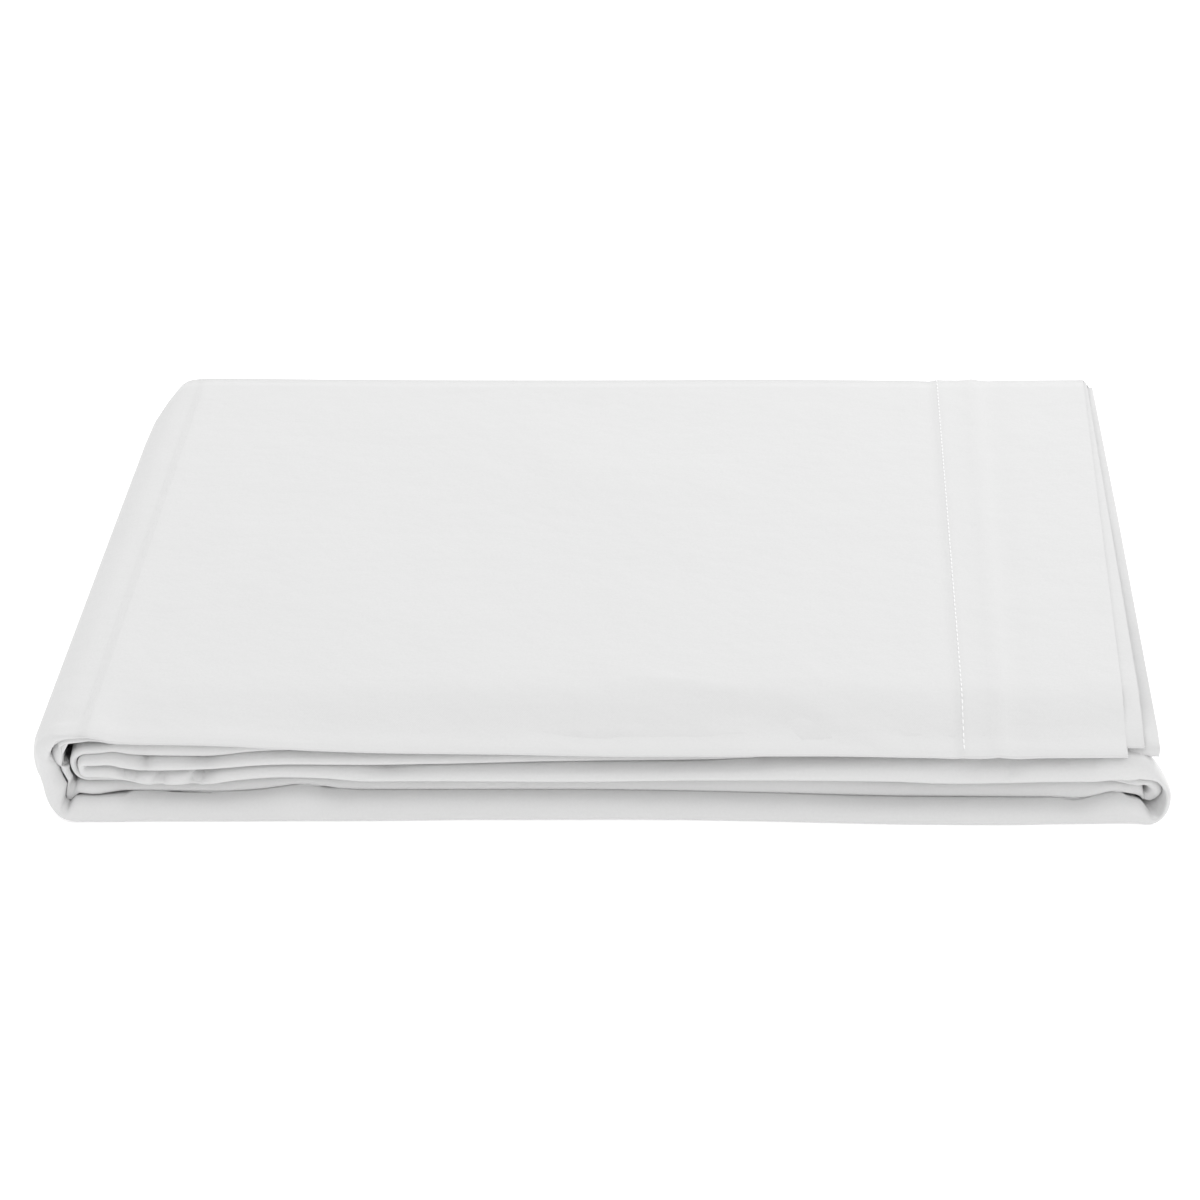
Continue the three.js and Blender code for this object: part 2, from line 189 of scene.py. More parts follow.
# Stations that the course is drawn through: the course's x and z, the strip's depth there, the
# y of its outer folds, inner folds and back, how far the back is raked to the right, the tuck and
# the flare, and the number of steps to the next station
COURSE_COLUMNS = (
    "place", "x", "z", "deep", "front", "inner", "back", "rake", "tuck", "flare", "steps",
)
SMOOTH = ("deep", "front", "inner", "back", "rake", "tuck", "flare")
COURSE = table(COURSE_COLUMNS, [
    ("flap", 163.2, 28.3, 3.9, -134, -129.5, 135.4, 8.8, 0, 0, 5),
    ("flap", 142, 28.4, 3.9, -134, -127, 135, 7.4, 0, 0, 6),
    ("flap", 124, 28.6, 3.9, -134, -124, 134.8, 6.3, 0, 0, 5),
    ("flap", 113.6, 28.75, 3.9, -134, -122, 134.7, 3.9, 0, 0, 3),
    ("flap", 109.4, 28.8, 3.9, -134, -121, 134.6, 3.7, 0, 0, 5),
    ("flap", 86, 29.4, 3.9, -134, -120, 134, 2, 0, 0, 7),
    ("flap", 60, 29.9, 3.9, -134, -120, 133.6, 1, 0, 0, 11),
    ("flap", 14, 30.0, 3.9, -134, -120, 133.6, 0, 0, 0, 8),
    ("flap", -60, 30.0, 4.0, -134, -122, 134.4, 0, 0, 0, 5),
    ("flap", -122, 30.0, 4.1, -133.8, -127, 136, 0, 0, 0, 5),
    ("flap", -148, 30.1, 4.1, -133.6, -130, 136.6, 0, 0, 0, 4),
    ("left side", -160.5, 30.0, 4.3, -133.6, -131.6, 136.6, 0.5, 0, 0, 5),
    ("left side", -168.8, 28.6, 6.5, -133.6, -132.2, 136, 1.2, 2.5, 0, 5),
    ("left side", -174.8, 24.2, 7.6, -133.6, -132.4, 135, 1.6, 4.5, 0, 5),
    ("left side", -176.8, 17.5, 8.5, -134, -132.4, 134, 1.6, 5, 0, 5),
    ("left side", -175.8, 10.5, 8.5, -134.8, -132, 134, 1.2, 5, 0, 5),
    ("left side", -172, 4.8, 8.0, -135.6, -132, 134, 1, 4, 0, 7),
    ("left side", -166, 1.3, 8.4, -136.2, -130.6, 135, 0.5, 3, 0, 6),
    ("left side", -158, 0.5, 9.8, -135.9, -131.6, 135.4, 0, 1, 0, 5),
    ("floor", -145, 0.5, 10.7, -135.8, -129.1, 135.6, 0, 0, 0, 11),
    ("floor", -90, 0.5, 10.7, -135.6, -128.9, 135.6, 0, 0, 0, 13),
    ("floor", -28, 0.5, 10.7, -134.8, -128.5, 135.6, 0, 0, 0, 5),
    ("floor", 14, 0.5, 10.7, -134.4, -128.3, 135.6, 0, 0, 0, 5),
    ("floor", 63, 0.5, 10.6, -136, -129.1, 135.6, 0, 0, 0, 4),
    ("floor", 94, 0.5, 10.6, -137, -129.7, 135.6, 0, 0, 0, 5),
    ("floor", 124, 0.5, 10.6, -137.4, -130.1, 135.6, 0, 0, 0, 6),
    ("floor", 148, 0.5, 10.4, -136.6, -130.6, 135.6, 0, 0, 0.4, 5),
    ("right side", 165, 0.55, 8.0, -136.4, -131.6, 135, -1, 0, 2.0, 5),
    ("right side", 172.6, 1.2, 6.5, -137, -131, 134, -2, 0, 4.2, 5),
    ("right side", 176.2, 4.8, 6.0, -136, -131.4, 133, -3, 0, 4.6, 5),
    ("right side", 177.1, 9.8, 6.0, -135.2, -132.6, 132, -3, 0, 4.6, 5),
    ("right side", 175, 15.8, 6.0, -134.8, -132.8, 132, -3, 0, 4.6, 5),
    ("right side", 170.2, 20.1, 6.5, -134.4, -132.4, 133, -2, 0, 4.2, 5),
    ("right side", 163, 22.5, 7.8, -134.4, -131.4, 134, -1, 0, 2.6, 5),
    ("middle", 152, 23.0, 8.9, -134.2, -130.4, 135, 0, 0, 0.6, 6),
    ("middle", 124, 23.0, 9.2, -134.4, -130.4, 135, 0, 0, 0, 4),
    ("middle", 98, 22.4, 8.9, -134.4, -130.4, 135, 0, 0, 0, 3),
    ("middle", 82, 20.9, 7.8, -134.2, -130.2, 135, 0, 0, 0, 3),
    ("middle", 66, 19.6, 6.9, -134, -130, 135, 0, 0, 0, 3),
    ("middle", 40, 19.2, 6.7, -133.8, -130, 135, 0, 0, 0, 4),
    ("middle", -10, 19.2, 6.7, -133.6, -129.8, 134.5, 0, 0, 0, 5),
    ("middle", -60, 19.2, 6.7, -133.6, -129.8, 134, 0, 0, 0, 10),
    ("middle", -106, 19.0, 6.5, -133.4, -129.8, 134, 1, 0, 0, 9),
    ("middle", -122, 18.8, 6.3, -133.2, -129.8, 134, 1, 0, 0, 13),
    ("middle", -140, 18.4, 6.1, -133, -130, 134, 2, 0, 0, 12),
    ("left fold", -158.4, 17.9, 6.0, -133, -131.4, 133, 3, 1, 0, 16),
    ("left fold", -158.4, 19.2, 4.6, -133, -131.4, 133, 3, 1, 0, 10),
    ("upper", -140, 19.8, 4.5, -132.8, -131, 133, 2, 0, 0, 11),
    ("upper", -122, 20.15, 4.4, -132.6, -131, 133, 1, 0, 0, 6),
    ("upper", -106, 20.35, 4.2, -132.4, -130.6, 133, 1, 0, 0, 6),
    ("upper", -75, 20.55, 4.0, -131.9, -129.2, 133, 0, 0, 0, 5),
    ("upper", -28, 20.55, 3.9, -130.4, -126.6, 133, 0, 0, 0, 4),
    ("upper", 14, 20.55, 3.9, -128.8, -125, 133, 0, 0, 0, 4),
    ("upper", 60, 20.55, 3.9, -128.4, -124.6, 133, 0, 0, 0, 0),
])
PANELS = ("flap", "floor", "middle", "upper")

# The hairpin is the tight fold at the left between the middle and the upper panel
HAIRPIN = next(i for i, row in enumerate(COURSE) if row["place"] == "left fold")
HAIRPIN_RADIUS = 0.65
HALF_TURN = 180
HAIRPIN_START = 3 * HALF_TURN

# Depths of the groups' faces at the front of the sides: the outer group's outer and inner face,
# then the inner group's
FACES = ("outer", "outer_in", "inner", "inner_in")
SIDE_LIPS = {
    "left side": table(("turn", *FACES), [
        (186, -0.3, 1.0, 1.3, 3.8),
        (196, -0.3, 1.4, 1.7, 4.6),
        (206, -0.2, 3.0, 3.3, 8.4),
        (221, 0.0, 5.6, 5.9, 11.4),
        (236, 0.4, 7.4, 7.7, 12.4),
        (262, 2.8, 9.6, 9.9, 12.6),
        (288, 3.2, 10.3, 10.6, 12.8),
        (312, 1.8, 10.2, 10.5, 12.6),
        (325, 0.9, 8.6, 8.9, 11.6),
        (337, 0.0, 3.2, 3.6, 9.8),
        (345, -0.3, 4.4, 4.7, 10.0),
        (352, -0.5, 6.6, 6.9, 10.8),
        (360, -0.5, 7.0, 7.25, 11.2),
    ]),
    "right side": table(("turn", *FACES), [
        (361, -0.5, 9.7, 10.1, 11.6),
        (364, -0.5, 8.4, 9.4, 11.2),
        (370, -0.5, 6.2, 8.6, 10.8),
        (378, -0.4, 3.4, 7.4, 9.8),
        (393, -0.3, 1.0, 5.0, 8.0),
        (404, -0.3, 0.8, 3.4, 7.4),
        (420, -0.3, 1.2, 2.6, 7.0),
        (455, 0.0, 1.8, 2.1, 6.0),
        (485, 0.8, 3.4, 3.7, 7.8),
        (510, 0.0, 6.2, 6.5, 9.8),
        (532, 1.0, 8.5, 8.8, 10.6),
    ]),
    "left fold": table(("turn", *FACES), [
        (360, -0.5, 2.6, 2.8, 5.0),
        (450, -0.5, 2.5, 2.8, 5.0),
        (540, -0.5, 3.3, 3.6, 5.2),
    ]),
}

# Shape of a fold seen from the side, from its upper leaf down to its lower one: how far down
# between them, and how far back from the crease
SHAPE = ("down", "back")
NOSE = {
    "slant": table(SHAPE, [
        (0, 1), (0.05, 0.84), (0.12, 0.66), (0.22, 0.46), (0.34, 0.28), (0.48, 0.14), (0.65, 0.05),
        (0.8, 0), (0.92, 0.0), (0.985, 0.06), (1, 0.3),
    ]),
    "floor": table(SHAPE, [
        (0, 1), (0.04, 0.84), (0.1, 0.64), (0.2, 0.43), (0.33, 0.26), (0.5, 0.12), (0.68, 0.04),
        (0.84, 0), (0.94, 0.03), (1, 0.3),
    ]),
    "thin": table(SHAPE, [
        (0, 1), (0.16, 0.78), (0.32, 0.58), (0.48, 0.39), (0.63, 0.22), (0.77, 0.09), (0.88, 0),
        (0.96, 0.03), (1, 0.2),
    ]),
}

# Dents in the visible folds: x, how far down the fold, half its width, half its height, how deep,
# and how far its lower end leans to the right
DENTS = table(("place", "x", "down", "wide", "high", "deep", "lean"), [
    ("upper", -140.5, 0.16, 2.3, 0.42, 6.2, -1.5),
    ("upper", -122, 0.12, 3.6, 0.3, 4.6, 0),
    ("upper", -150.5, 0.2, 2.0, 0.5, 2.6, 2),
    ("middle", -145.4, 0.2, 2.3, 0.36, 6.2, 1),
    ("middle", -135.4, 0.42, 1.8, 0.4, 3.4, -2),
    ("middle", -122, 0.3, 2.6, 0.42, 6.4, -7),
    ("middle", -64, 0.2, 3.6, 0.25, 4.2, 0),
    ("middle", 124, 0.35, 5.5, 0.25, 3.8, -5),
    ("floor", -84, 0.16, 4.0, 0.18, 2.4, 6),
    ("floor", 147, 0.2, 4.0, 0.2, 1.8, -2),
    ("floor", -128, 0.12, 9, 0.14, 2.0, 0),
    ("floor", -40, 0.5, 30, 0.4, 0.6, 0),
    ("floor", 60, 0.5, 22, 0.4, 0.6, 0),
    ("middle", 30, 0.5, 20, 0.5, 0.5, 0),
])

# Soft ridges and troughs of the top, each between two points, with its half width and height
RELIEF = table(("x0", "y0", "x1", "y1", "wide", "high"), [
    (130.4, 140, 124.1, -134, 1.9, 0.5),
    (137, 140, 131, -134, 3.4, -0.3),
    (117.1, 140, 113.2, -134, 1.0, 0.28),
    (114.6, 140, 110.6, -134, 2.2, -0.32),
    (4.3, -101.6, 28.4, -108.8, 2.4, -0.55),
    (28.4, -108.8, 52.4, -116.5, 2.6, -0.6),
    (10, -96, 44, -108, 3.0, 0.5),
    (52.4, -116.5, 66, -119, 3.0, -0.45),
    (62.1, -113.9, 87.8, -126, 3.2, 0.7),
    (148, -47.7, 163, -47.7, 2.8, -0.5),
    (-168, -122, -164, -123, 2.6, -0.7),
    (-20, 60, 20, 40, 26, 0.7),
    (-110, -20, -80, -60, 30, 0.7),
    (60, -30, 84, 10, 22, -0.6),
])


# ---- Curves through table rows ----


def ease(t):
    c = np.clip(t, 0.0, 1.0)
    return c * c * (3 - 2 * c)


def mix(a, b, t):
    return a + (b - a) * t


def slopes(t, v, limited):
    """Slopes of a smooth curve through v at t; limited ones never overshoot."""
    h = np.diff(t)
    d = np.diff(v) / h
    m = np.empty(len(v))
    m[0], m[-1] = d[0], d[-1]
    for i in range(1, len(v) - 1):
        if limited and d[i - 1] * d[i] <= 0:
            m[i] = 0.0
        elif limited:
            w1, w2 = 2 * h[i] + h[i - 1], h[i] + 2 * h[i - 1]
            m[i] = (w1 + w2) / (w1 / d[i - 1] + w2 / d[i])
        else:
            m[i] = (d[i - 1] * h[i] + d[i] * h[i - 1]) / (h[i - 1] + h[i])
    return m


def curve(t, v, at, limited=True, derivative=False):
    """Value or slope, at one place, of the smooth curve through v at t."""
    t, v = np.asarray(t, float), np.asarray(v, float)
    m = slopes(t, v, limited)
    i = int(np.clip(np.searchsorted(t, at, side="right") - 1, 0, len(t) - 2))
    h = t[i + 1] - t[i]
    s = min(1.0, max(0.0, (at - t[i]) / h))
    a, b, ma, mb = v[i], v[i + 1], m[i] * h, m[i + 1] * h
    if derivative:
        rise = (6 * s * s - 6 * s) * (a - b) + (3 * s * s - 4 * s + 1) * ma
        return (rise + (3 * s * s - 2 * s) * mb) / h
    start = (2 * s**3 - 3 * s * s + 1) * a + (s**3 - 2 * s * s + s) * ma
    return start + (3 * s * s - 2 * s**3) * b + (s**3 - s * s) * mb


def line_at(rows, x):
    """Height of a visible fold line at x."""
    return curve([row["x"] for row in rows], [row["z"] for row in rows], x)


# ---- Stations along the strip ----


def panel_lips(place, x, z, deep):
    """Depths of the groups' faces at the front of a flat panel, from the visible fold lines."""
    if place == "flap":
        low = z - line_at(FLAP_EDGE, x)
        return low - FLAP_FOLD_HIGH, low, mix(low, deep, FLAP_INNER_FROM), deep + FLAP_INNER_SAG
    gap = GROUP_GAP[place]
    if place == "floor":
        top = line_at(FLOOR_TOP, x) - FLOOR_SINK - z
        return -CAD_HALF, top, top + gap, line_at(MIDDLE_IN, x) - FLOOR_FREE - z
    if place == "middle":
        low = z - line_at(MIDDLE_LOW, x)
        return z - line_at(MIDDLE_TOP, x) + MIDDLE_FREE, low, low + gap, z - line_at(MIDDLE_IN, x)
    top = line_at(UPPER_TOP, x) - z
    return line_at(MIDDLE_TOP, x) - z, top, top + gap, line_at(UPPER_IN, x) - z


def place_lips(st, place):
    """Depths of the groups' faces at the front, in a panel or in a turn between two of them."""
    if place in PANELS:
        return panel_lips(place, st["x"], st["z"], st["deep"])
    rows = SIDE_LIPS[place]
    turns = [row["turn"] for row in rows]
    degrees = math.degrees(st["turn"])
    lips = [curve(turns, [row[face] for row in rows], degrees) for face in FACES]
    if place == "right side" and math.cos(st["turn"]) > FLAT_COSINE:
        beyond = float(ease((st["x"] - SINK_END["x"]) / SINK_END["long"]))
        sink = FLOOR_SINK * (1 - SINK_END["loss"] * beyond)
        lips[1] = max(LEAST_FOLD, line_at(FLOOR_TOP, st["x"]) - sink - st["z"])
        lips[2] = max(min(lips[2], INNER_GROUP_LIMIT), lips[1] + GROUP_GAP[place])
    return tuple(lips)


def lips_at(st):
    """Depths of the groups' faces, passing from one place of the course to the next."""
    row, after = COURSE[st["row"]], COURSE[min(len(COURSE) - 1, st["row"] + 1)]
    a = place_lips(st, row["place"])
    if row["place"] == after["place"]:
        return a
    b = place_lips(st, after["place"])
    t = ease(st["share"])
    return tuple(mix(p, q, t) for p, q in zip(a, b))


def near_turn(turn, last):
    """The same turn, counted on from the last one."""
    while turn < last - math.pi:
        turn += 2 * math.pi
    while turn > last + math.pi:
        turn -= 2 * math.pi
    return turn


def stations():
    """Stations along the strip, from the flap's hem to the hidden end."""
    way = [0.0]
    for a, b in zip(COURSE, COURSE[1:]):
        way.append(way[-1] + math.hypot(b["x"] - a["x"], b["z"] - a["z"]))
    before, beyond = range(HAIRPIN + 1), range(HAIRPIN + 1, len(COURSE))

    def on_course(part, column, t, derivative=False):
        values = [COURSE[k][column] for k in part]
        return curve([way[k] for k in part], values, t, False, derivative)

    out = []
    turn = math.pi
    for i, row in enumerate(COURSE):
        part = before if i < HAIRPIN else beyond
        steps = max(1, row["steps"])
        for s in range(steps):
            t = way[i] + (way[i + 1] - way[i]) * s / steps if row["steps"] else way[i]
            st = {"place": row["place"], "way": t, "row": i, "share": s / steps}
            for column in SMOOTH:
                st[column] = curve(way, [r[column] for r in COURSE], t)
            if i == HAIRPIN:
                turn = math.radians(HAIRPIN_START - HALF_TURN * st["share"])
                st["x"] = row["x"] - HAIRPIN_RADIUS * math.sin(turn)
                st["z"] = row["z"] + HAIRPIN_RADIUS + HAIRPIN_RADIUS * math.cos(turn)
            else:
                st["x"], st["z"] = on_course(part, "x", t), on_course(part, "z", t)
                dx, dz = on_course(part, "x", t, True), on_course(part, "z", t, True)
                turn = near_turn(math.atan2(dz, dx), turn) if i < HAIRPIN else 2 * math.pi
            st["turn"] = turn
            st["lips"] = lips_at(st)
            out.append(st)
    return out


# ---- One section across the strip: the way of the cloth through its eight leaves ----


def leaf_depths(st):
    """Depth of each leaf's middle inside the panel, and at its front fold."""
    outer, inner = -CAD_HALF + PACK, st["deep"] + CAD_HALF - PACK
    inside = {k: mix(outer, inner, (k - 1) / (LEAVES - 1)) for k in range(1, LEAVES + 1)}
    o1, o4, i5, i8 = st["lips"]
    o1, o4, i5, i8 = o1 + PACK, o4 - PACK, i5 + PACK, i8 - PACK
    g = min(LEAF_SPACING, (o4 - o1) / 3)
    h = min(LEAF_SPACING, (i8 - i5) / 3)
    return inside, {1: o1, 2: o1 + g, 3: o4 - g, 4: o4, 5: i5, 6: i5 + h, 7: i8 - h, 8: i8}


def dent_at(st, down):
    """How far a fold is pressed back, this far down its front."""
    back = 0.0
    for d in DENTS:
        if d["place"] == st["place"]:
            side = (st["x"] - d["x"] - d["lean"] * (down - d["down"])) / d["wide"]
            back += d["deep"] * math.exp(-side * side - ((down - d["down"]) / d["high"]) ** 2)
    return back


def fold_front(st, a, b):
    """Front of the fold that joins leaves a and b, and how far it reaches back."""
    lips = leaf_depths(st)[1]
    half = abs(lips[b] - lips[a]) / 2
    if (a, b) == (4, 1):
        front = st["front"] - CAD_HALF + PACK
        if st["place"] == "flap":
            return front, FLAP_REACH
        return front, min(OUTER_REACH[st["place"]], OUTER_REACH_RATIO * half)
    if (a, b) == (8, 5):
        return st["inner"], min(INNER_REACH, INNER_REACH_RATIO * half)
    front, reach = fold_front(st, *SHOWN_FOLDS[0 if (a, b) == (2, 3) else 1])
    nest = FLAP_NEST if st["place"] == "flap" and (a, b) == (2, 3) else NEST
    nest += dent_at(st, DENT_INSIDE)
    return front + reach + nest, min(NESTED_REACH, half * half / NESTED_SQUARE)


def nose_shape(st, a, b):
    """Which shape of NOSE the front fold between leaves a and b has."""
    if st["place"] == "flap":
        return "thin"
    low = st["place"] in ("floor", "right side", "left side") and math.cos(st["turn"]) > 0
    return "floor" if low and (a, b) == (4, 1) else "slant"


def nose(st, a, b, depth):
    """Points of the front fold between leaves a and b, whose depths at the fold are given."""
    front, reach = fold_front(st, a, b)
    p, q = depth[a], depth[b]
    steps = NOSE_STEPS[(a, b)]
    sinking = -math.cos(st["turn"])      # 1 where depth points down, -1 where it points up
    lean = 0.0
    if (a, b) in SHOWN_FOLDS:
        lean = float(ease(abs(sinking) * LEAN_GAIN - LEAN_START))
    shape = NOSE[nose_shape(st, a, b)]
    share = [i / (len(shape) - 1) for i in range(len(shape))]
    a_above = (q > p) == (sinking > 0)
    rows = []
    for s in range(1, steps):
        t = s / steps
        down = t if a_above else 1 - t
        w = curve(share, [r["down"] for r in shape], down)
        u = curve(share, [r["back"] for r in shape], down)
        w = w if a_above else 1 - w
        angle = math.pi * (t - 0.5)
        w = mix((1 + math.sin(angle)) / 2, w, lean)
        u = mix(1 - math.cos(angle), u, lean)
        dent = dent_at(st, down) if (a, b) == (4, 1) else 0.0
        rows.append((front + reach * u + dent, mix(p, q, w), a, b, t))
    return rows


def back_fold(st, a, b, depth):
    """Points of the fold at the back between leaves a and b."""
    y = st["back"] - max(BACK_STEP[a], BACK_STEP[b])
    p, q = depth[a], depth[b]
    reach = abs(q - p) / 2
    rows = []
    for s in range(1, BACK_FOLD_STEPS):
        t = s / BACK_FOLD_STEPS
        angle = math.pi * (t - 0.5)
        middle = (p + q) / 2 + (q - p) / 2 * math.sin(angle)
        rows.append((y + reach * math.cos(angle), middle, a, b, t))
    return rows


def section(st):
    """Points across the strip: y, depth, the two leaves they lie between and how far on."""
    inside, lips = leaf_depths(st)
    tips = {k: sum(fold_front(st, *PAIR[k])) for k in PAIR}
    in_flap = st["place"] == "flap"
    sag = lips[OUTER_LEAVES] - inside[OUTER_LEAVES]

    def flap_depth(k, y):
        """A leaf's depth in the flap, where the inner leaves sag with the outer ones."""
        share = float(ease((tips[1] + FLAP_RUN - y) / FLAP_RUN))
        if k <= OUTER_LEAVES:
            return mix(inside[k], lips[k], share)
        return inside[k] + sag * share

    def leaf(k, forward):
        """Points of one leaf, from its back to its front fold or the other way round."""
        tip, back = tips[k], st["back"] - BACK_STEP[k]
        run = INNER_RUN
        if k <= OUTER_LEAVES:
            run = FLAP_RUN if in_flap else FOLD_RUN
        start = tip + run
        if k == 1:
            ys = [start + (back - start) * t for t in TOP_PLACES]
            ys += [tip + run * r for r in SHOWN_RUN]
        else:
            ys = [back, *HIDDEN_PLACES]
            ys += [tip + run * r for r in HIDDEN_RUN]
        row = []
        for y in ys:
            settled = float(ease((tip + run - y) / run))
            depth = flap_depth(k, y) if in_flap else mix(inside[k], lips[k], settled)
            row.append((y, depth, k, k, 0.0))
        return row if forward else row[::-1]

    at_tip = {k: flap_depth(k, tips[k]) for k in PAIR} if in_flap else lips
    points = []
    for i, k in enumerate(LEAF_ORDER):
        forward = i % 2 == 0
        points += leaf(k, forward)
        if i < LEAVES - 1:
            after = LEAF_ORDER[i + 1]
            points += nose(st, k, after, at_tip) if forward else back_fold(st, k, after, inside)
    return np.array(points)


def offset_section(points, away):
    """Moves a section sideways, to one of the leaf's two plies."""
    d = np.gradient(points[:, :2], axis=0)
    d /= np.maximum(np.linalg.norm(d, axis=1, keepdims=True), TINY)
    out = points.copy()
    out[:, 0] += -d[:, 1] * away
    out[:, 1] += d[:, 0] * away
    return out


# ---- Sections in space ----


def stagger_at(point, share):
    """How far the hem stands out at a point of a section, this share of the way to the back."""
    a, b, t = int(point[2]), int(point[3]), point[4]
    front = mix(HEM_STAGGER_FRONT[a], HEM_STAGGER_FRONT[b], t)
    back = mix(HEM_STAGGER_BACK[a], HEM_STAGGER_BACK[b], t)
    return mix(front, back, share)


def relief_at(x, y):
    """Height of the soft ridges and troughs of the top."""
    out = np.zeros_like(x)
    for r in RELIEF:
        dx, dy = r["x1"] - r["x0"], r["y1"] - r["y0"]
        t = np.clip(((x - r["x0"]) * dx + (y - r["y0"]) * dy) / (dx * dx + dy * dy), 0, 1)
        away = np.hypot(x - r["x0"] - t * dx, y - r["y0"] - t * dy)
        out += r["high"] * np.exp(-((away / r["wide"]) ** 2))
    return out


def placed(st, points):
    """Section points in space."""
    turn, y, depth = st["turn"], points[:, 0], points[:, 1]
    share = (y - st["front"]) / (st["back"] - st["front"])
    corner = np.maximum(0.0, (y - TUCK_START) / TUCK_LENGTH)
    fade = max(0.0, 1 - st["way"] / STAGGER_LENGTH)
    reach = np.array([stagger_at(*pair) for pair in zip(points, np.clip(share, 0, 1))]) * fade
    x = st["x"] - depth * math.sin(turn) - reach * math.cos(turn) + st["rake"] * share
    flare = st["flare"] * ease((y - st["front"] - FLARE_START) / FLARE_LENGTH)
    x += st["tuck"] * corner * corner - flare
    z = np.maximum(LOWEST, st["z"] + depth * math.cos(turn))
    if st["place"] == "flap" or (st["place"] == "left side" and turn < TOP_END):
        leaf = mix(points[:, 2], points[:, 3], points[:, 4])
        z += relief_at(x, y) * (1 - (leaf - 1) / LEAVES)
    return np.stack([x, y, z], axis=1)


def build_grid():
    """Rows of points, and the stations of the first and the second ply that they stand at."""
    first = stations()
    second = first[::SECOND_PLY_EVERY][::-1]
    rows = [placed(st, offset_section(section(st), -PLY_OFFSET)) for st in first]
    rows += [placed(st, offset_section(section(st), PLY_OFFSET)) for st in second]
    return np.array(rows), first, second


grid, first_ply, second_ply = build_grid()
grid = grid + np.array(SHIFT)


# ---- The cloth's mesh ----


def grid_normals(g):
    along = np.gradient(g, axis=0)
    across = np.gradient(g, axis=1)
    n = np.cross(along, across)
    return n / np.maximum(np.linalg.norm(n, axis=2, keepdims=True), TINY)


def outer_face(g, thickness):
    """The cloth's face against the normals, outside on leaf 1: all extra thickness lies there."""
    return g - grid_normals(g) * (thickness - PLY / 2)[..., None]


def lay_uv(mesh, corners, g):
    """UVs in millimetres of the flat cloth: along the strip, and across it."""
    rows, cols = g.shape[:2]
    middle = g[:, cols // 2]
    lengths = np.linalg.norm(np.diff(middle, axis=0), axis=1)
    along = np.concatenate([[0], np.cumsum(lengths)])
    steps = np.linalg.norm(np.diff(g, axis=1), axis=2)
    across = np.concatenate([np.zeros((rows, 1)), np.cumsum(steps, axis=1)], axis=1)
    across -= across[:, cols // 2:cols // 2 + 1]
    uv = np.stack([np.broadcast_to(along[:, None], (rows, cols)), across], axis=2).reshape(-1, 2)
    layer = mesh.uv_layers.new(name="flat_mm")
    layer.data.foreach_set("uv", uv[corners.ravel()].ravel())


def mark_sharp(mesh, at_rim, count):
    """Keeps the cut edge of the cloth crisp: sharp edges round both of its faces."""
    ends = np.empty(len(mesh.edges) * 2, int)
    mesh.edges.foreach_get("vertices", ends)
    a, b = ends.reshape(-1, 2).T
    sharp = mesh.attributes.new("sharp_edge", "BOOLEAN", "EDGE")
    sharp.data.foreach_set("value", at_rim[a] & at_rim[b] & ((a < count) == (b < count)))


def cloth_mesh(name, g, thickness):
    """One closed mesh: the grid's two faces and the rim that joins them."""
    rows, cols = g.shape[:2]
    count = rows * cols
    sides = (g + grid_normals(g) * PLY / 2, outer_face(g, thickness))
    points = np.concatenate([side.reshape(-1, 3) for side in sides]) * MM
    index = np.arange(count).reshape(rows, cols)
    a, b, c, d = index[:-1, :-1], index[1:, :-1], index[1:, 1:], index[:-1, 1:]
    first = np.stack([a, b, c, d], axis=2).reshape(-1, 4)
    second = np.stack([a, d, c, b], axis=2).reshape(-1, 4) + count
    ring = np.concatenate([index[0, :-1], index[:-1, -1], index[-1, :0:-1], index[:0:-1, 0]])
    after = np.roll(ring, -1)
    rim = np.stack([ring, after, after + count, ring + count], axis=1)
    faces = np.concatenate([first, second, rim])
    mesh = bpy.data.meshes.new(name)
    mesh.vertices.add(len(points))
    mesh.vertices.foreach_set("co", points.ravel())
    mesh.loops.add(faces.size)
    mesh.loops.foreach_set("vertex_index", faces.ravel())
    mesh.polygons.add(len(faces))
    mesh.polygons.foreach_set("loop_start", np.arange(0, faces.size, 4))
    mesh.polygons.foreach_set("use_smooth", np.ones(len(faces), bool))
    mesh.update(calc_edges=True)
    at_rim = np.zeros(len(points), bool)
    at_rim[ring] = True
    at_rim[ring + count] = True
    mark_sharp(mesh, at_rim, count)
    lay_uv(mesh, faces % count, g)
    return linked(name, mesh)


def linked(name, data):
    obj = bpy.data.objects.new(name, data)
    bpy.context.collection.objects.link(obj)
    return obj


def cloth_thickness():
    """Thickness at each point of the grid: the hem is doubled cloth as far as its seam."""
    out = np.full(grid.shape[:2], PLY)
    for i, st in enumerate(first_ply + second_ply):
        if st["place"] == "flap" and st["x"] > HEM_LINE - HEM_MARGIN:
            out[i] += HEM_EXTRA * (1 if i < len(first_ply) else HEM_SECOND_SHARE)
    return out


thickness = cloth_thickness()
sheet = cloth_mesh("flat_sheet", grid, thickness)


# ---- Cloth and thread ----

GREY = 0.66
THREAD = 0.36                   # distance of the threads
WEAVE_HEIGHT = 0.6
FUZZ_HEIGHT = 0.5
MARKS_HEIGHT = 0.16
SHADE_FROM = (0.3, 0.7)         # span of the noise that changes the grey
SHADE_TO = (0.985, 1.01)        # what it multiplies the grey by

